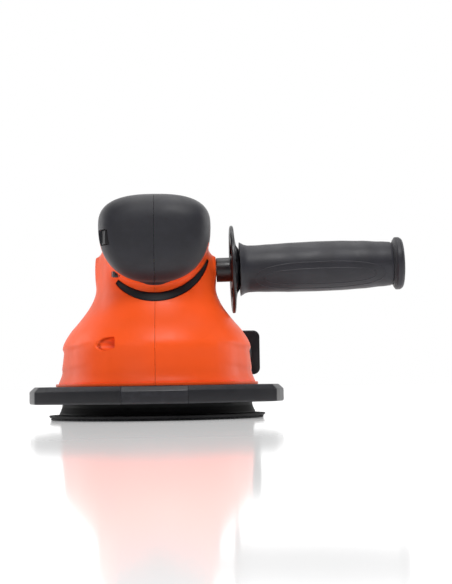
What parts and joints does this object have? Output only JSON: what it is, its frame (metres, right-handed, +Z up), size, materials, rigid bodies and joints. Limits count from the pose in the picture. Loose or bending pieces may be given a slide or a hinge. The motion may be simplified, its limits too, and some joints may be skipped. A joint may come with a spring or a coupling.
{
  "type": "orbital sander",
  "caption": "Orbital sander with a round hook pad, faceted guard, clamshell body, barrel handle, screw-in side handle and dust box.",
  "frame": {"origin": "on the motor axis, at the working face of the pad", "axes": "+Z up along the motor axis, -Y towards the nose, +X towards the side handle"},
  "size_m": [0.2614, 0.245, 0.155],
  "materials": {
    "body_shell": "satin",
    "soft_cover": "fine matt",
    "grip_rubber": "fine matt, ribbed",
    "guard_plastic": "textured",
    "black_plastic": "satin",
    "skirt_rubber": "matt",
    "pad_foam": "matt, moulded",
    "hook_pile": "hook fabric",
    "steel": "turned",
    "lamination": "laminated",
    "copper": "enamelled wire",
    "brass": "turned",
    "aluminium": "die cast",
    "carbon": "pressed carbon",
    "circuit_board": "solder mask",
    "filter_paper": "pleated paper"
  },
  "bodies": {
    "housing": {"housing_left": "body_shell", "housing_right": "body_shell", "nose_cover_left": "soft_cover", "nose_cover_right": "soft_cover", "handle_grip_left": "soft_cover", "handle_grip_right": "soft_cover", "guard_plate": "guard_plastic", "brush_bracket": "black_plastic", "dust_spigot": "black_plastic", "switch_module": "black_plastic", "speed_potentiometer": "black_plastic", "pad_brake_skirt": "skirt_rubber", "neck_trim_strip": "skirt_rubber", "cable_gland": "skirt_rubber", "guard_screw_1": "steel", "guard_screw_2": "steel", "guard_screw_3": "steel", "case_screw_1": "steel", "case_screw_2": "steel", "case_screw_3": "steel", "case_screw_4": "steel", "lower_bearing": "steel", "upper_bearing": "steel", "stator_core": "lamination", "field_coil_left": "copper", "field_coil_right": "copper", "handle_insert_left": "brass", "handle_insert_right": "brass", "brush_holder_front": "brass", "brush_holder_rear": "brass", "bearing_carrier": "aluminium", "carbon_brush_front": "carbon", "carbon_brush_rear": "carbon", "speed_board": "circuit_board"},
    "rotor": {"motor_shaft": "steel", "rotor_core": "lamination", "rotor_winding_lower": "copper", "rotor_winding_upper": "copper", "commutator": "copper", "cooling_fan": "black_plastic", "eccentric_counterweight": "steel", "pad_bearing": "steel"},
    "pad": {"pad_spindle": "steel", "pad_backing_plate": "black_plastic", "pad_foam": "pad_foam", "hook_facing": "hook_pile", "pad_screw_1": "steel", "pad_screw_2": "steel", "pad_screw_3": "steel"},
    "guard_segment": {"guard_front_segment": "guard_plastic"},
    "rocker": {"power_rocker": "black_plastic"},
    "dial": {"speed_dial": "black_plastic"},
    "side_handle": {"side_handle_core": "black_plastic", "side_handle_stud": "steel", "side_handle_grip": "grip_rubber", "side_handle_end_cap": "grip_rubber"},
    "dust_box": {"dust_box": "black_plastic", "dust_filter": "filter_paper", "dust_door_pin": "steel"},
    "dust_door": {"dust_box_door": "black_plastic"}
  },
  "joints": [
    {"name": "motor_spin", "type": "hinge", "parent": "housing", "child": "rotor", "pos_m": [0, 0, 0.05], "axis": [0, 0, 1], "continuous": true},
    {"name": "pad_spin", "type": "hinge", "parent": "rotor", "child": "pad", "pos_m": [0, -0.0025, 0.01], "axis": [0, 0, 1], "continuous": true},
    {"name": "guard_segment_pull", "type": "slide", "parent": "housing", "child": "guard_segment", "axis": [0, -1, 0], "range_m": [0, 0.018]},
    {"name": "power_rocker_tilt", "type": "hinge", "parent": "housing", "child": "rocker", "pos_m": [-0.0263, -0.0493, 0.122], "axis": [0, 0, -1], "range_deg": [0, 7]},
    {"name": "speed_dial_turn", "type": "hinge", "parent": "housing", "child": "dial", "pos_m": [-0.02046, -0.02527, 0.099], "axis": [0, 0, 1], "range_deg": [0, 270]},
    {"name": "side_handle_unscrew", "type": "slide", "parent": "housing", "child": "side_handle", "axis": [0.9997, 0, 0.0244], "range_m": [0, 0.02]},
    {"name": "dust_box_release", "type": "slide", "parent": "housing", "child": "dust_box", "axis": [0, 1, 0], "range_m": [0, 0.025]},
    {"name": "dust_door_open", "type": "hinge", "parent": "dust_box", "child": "dust_door", "pos_m": [0.0408, 0.1287, 0.0269], "axis": [-1, 0, 0], "range_deg": [0, 110]}
  ]
}
